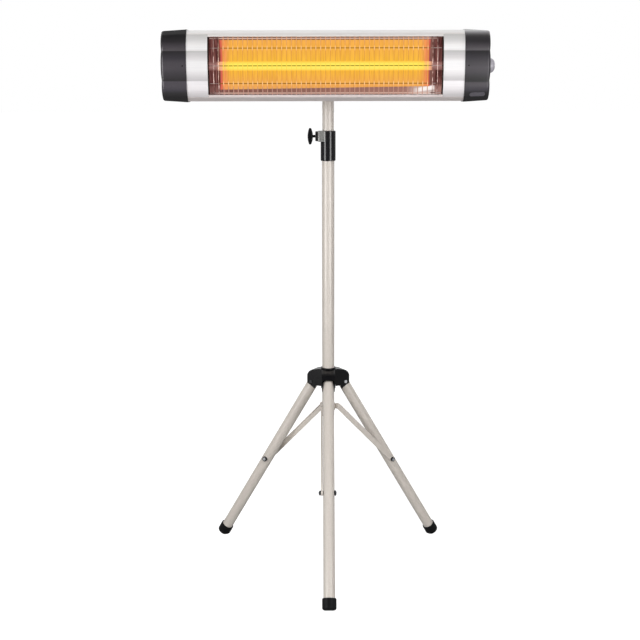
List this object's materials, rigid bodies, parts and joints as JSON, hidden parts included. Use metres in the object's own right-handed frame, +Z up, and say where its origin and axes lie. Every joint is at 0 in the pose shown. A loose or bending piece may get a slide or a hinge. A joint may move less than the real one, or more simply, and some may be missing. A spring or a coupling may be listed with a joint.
{
  "type": "infrared patio heater on a tripod",
  "caption": "Electric quartz patio heater: a long grilled head tilts, swivels and slides on a telescopic mast over a folding tripod with braced legs.",
  "frame": {"origin": "on the mast's axis, at floor level, between the three feet", "axes": "+Z up along the mast, -Y the front, where the heater faces, +X to the right as seen from the front"},
  "size_m": [0.704, 0.4801, 1.2202],
  "materials": {
    "tube_paint": "satin, warm light grey",
    "hub_plastic": "fine matt black",
    "foot_rubber": "matt",
    "bolt_black": "black zinc",
    "bright_steel": "bright zinc",
    "housing": "brushed silver",
    "cap_plastic": "charcoal, lightly grained",
    "reflector": "polished",
    "grille": "bright wire",
    "quartz": "clear, lit from inside",
    "coil": "glowing",
    "ceramic": "unglazed",
    "dial": "satin lilac grey",
    "plate": "blank, dark satin",
    "bush_plastic": "smooth",
    "block_metal": "grey satin"
  },
  "bodies": {
    "stand": {"lower_tube": "tube_paint", "lower_tube_plug": "hub_plastic", "runner_stop_screws": "bright_steel", "clamp_collar": "hub_plastic", "clamp_block": "block_metal", "clamp_nut": "hub_plastic", "tripod_hub": "hub_plastic", "leg_pivot_rivets": "bright_steel"},
    "runner": {"brace_runner": "hub_plastic"},
    "clamp_shoe": {"clamp_pad": "bush_plastic"},
    "clamp_handle": {"clamp_knob": "hub_plastic"},
    "slider": {"mast_bush": "bush_plastic"},
    "mast": {"upper_tube": "tube_paint", "mast_cap": "hub_plastic", "mast_bracket": "block_metal", "mast_bracket_bolts": "bright_steel", "tilt_bolt": "bright_steel"},
    "tilt_handle": {"tilt_knob": "hub_plastic"},
    "head": {"head_lug": "block_metal", "lug_screws": "bright_steel", "housing_shell": "housing", "end_cap_left": "cap_plastic", "end_cap_right": "cap_plastic", "bezel_left": "housing", "bezel_right": "housing", "lamp_cap_left": "ceramic", "lamp_cap_right": "ceramic", "lamp_holder_left": "ceramic", "lamp_holder_right": "ceramic", "cap_screws": "bolt_black", "badge_plate": "plate", "window_trim_top": "housing", "window_trim_bottom": "housing", "reflector": "reflector", "quartz_tube": "quartz", "heating_coil": "coil", "wire_grille": "grille", "switch_block": "bush_plastic", "terminal_block": "bush_plastic", "cable_inlet": "foot_rubber"},
    "switch_dial": {"switch_knob": "dial"},
    "front_leg": {"leg_tube_front": "tube_paint", "foot_cap_front": "foot_rubber", "leg_washers_front": "bolt_black", "leg_bolt_front": "bright_steel"},
    "front_brace": {"brace_front": "tube_paint", "brace_rivet_front": "bright_steel"},
    "left_leg": {"leg_tube_left": "tube_paint", "foot_cap_left": "foot_rubber", "leg_washers_left": "bolt_black", "leg_bolt_left": "bright_steel"},
    "left_brace": {"brace_left": "tube_paint", "brace_rivet_left": "bright_steel"},
    "right_leg": {"leg_tube_right": "tube_paint", "foot_cap_right": "foot_rubber", "leg_washers_right": "bolt_black", "leg_bolt_right": "bright_steel"},
    "right_brace": {"brace_right": "tube_paint", "brace_rivet_right": "bright_steel"}
  },
  "joints": [
    {"name": "front_leg_fold", "type": "hinge", "parent": "stand", "child": "front_leg", "pos_m": [0, -0.038, 0.4284], "axis": [1, 0, 0], "range_deg": [0, 31.9]},
    {"name": "left_leg_fold", "type": "hinge", "parent": "stand", "child": "left_leg", "pos_m": [-0.03291, 0.019, 0.4284], "axis": [-0.5, -0.866, 0], "range_deg": [0, 31.9]},
    {"name": "right_leg_fold", "type": "hinge", "parent": "stand", "child": "right_leg", "pos_m": [0.03291, 0.019, 0.4284], "axis": [-0.5, 0.866, 0], "range_deg": [0, 31.9]},
    {"name": "front_brace_turn", "type": "hinge", "parent": "front_leg", "child": "front_brace", "pos_m": [0, -0.16882, 0.21889], "axis": [1, 0, 0], "range_deg": [0, 7.54]},
    {"name": "left_brace_turn", "type": "hinge", "parent": "left_leg", "child": "left_brace", "pos_m": [-0.1462, 0.08441, 0.21889], "axis": [-0.5, -0.866, 0], "range_deg": [0, 7.54]},
    {"name": "right_brace_turn", "type": "hinge", "parent": "right_leg", "child": "right_brace", "pos_m": [0.1462, 0.08441, 0.21889], "axis": [-0.5, 0.866, 0], "range_deg": [0, 7.54]},
    {"name": "runner_slide", "type": "slide", "parent": "stand", "child": "runner", "axis": [0, 0, 1], "range_m": [0, 0.0229]},
    {"name": "mast_slide", "type": "slide", "parent": "stand", "child": "slider", "axis": [0, 0, 1], "range_m": [-0.06, 0.45]},
    {"name": "mast_swivel", "type": "hinge", "parent": "slider", "child": "mast", "pos_m": [0, 0, 0.441], "axis": [0, 0, 1], "continuous": true},
    {"name": "head_tilt", "type": "hinge", "parent": "mast", "child": "head", "pos_m": [0, -0.045, 1.145], "axis": [1, 0, 0], "range_deg": [-5, 35]},
    {"name": "tilt_knob_turn", "type": "hinge", "parent": "mast", "child": "tilt_handle", "pos_m": [0.02, -0.045, 1.145], "axis": [1, 0, 0], "range_deg": [0, 180]},
    {"name": "switch_turn", "type": "hinge", "parent": "head", "child": "switch_dial", "pos_m": [0.34, -0.096, 1.145], "axis": [1, 0, 0], "range_deg": [0, 270]},
    {"name": "clamp_shoe_slide", "type": "slide", "parent": "stand", "child": "clamp_shoe", "axis": [-1, 0, 0], "range_m": [0, 0.0015]},
    {"name": "clamp_knob_turn", "type": "hinge", "parent": "clamp_shoe", "child": "clamp_handle", "pos_m": [-0.0337, 0, 0.9932], "axis": [-1, 0, 0], "range_deg": [0, 540]}
  ],
  "couplings": [
    {"joint": "left_leg_fold", "follows": "front_leg_fold", "ratio": 1},
    {"joint": "right_leg_fold", "follows": "front_leg_fold", "ratio": 1},
    {"joint": "front_brace_turn", "follows": "front_leg_fold", "ratio": 0.23481},
    {"joint": "left_brace_turn", "follows": "front_leg_fold", "ratio": 0.23481},
    {"joint": "right_brace_turn", "follows": "front_leg_fold", "ratio": 0.23481},
    {"joint": "runner_slide", "follows": "front_leg_fold", "m_per_rad": 0.040757},
    {"joint": "clamp_shoe_slide", "follows": "clamp_knob_turn", "m_per_rad": 0.000159}
  ]
}
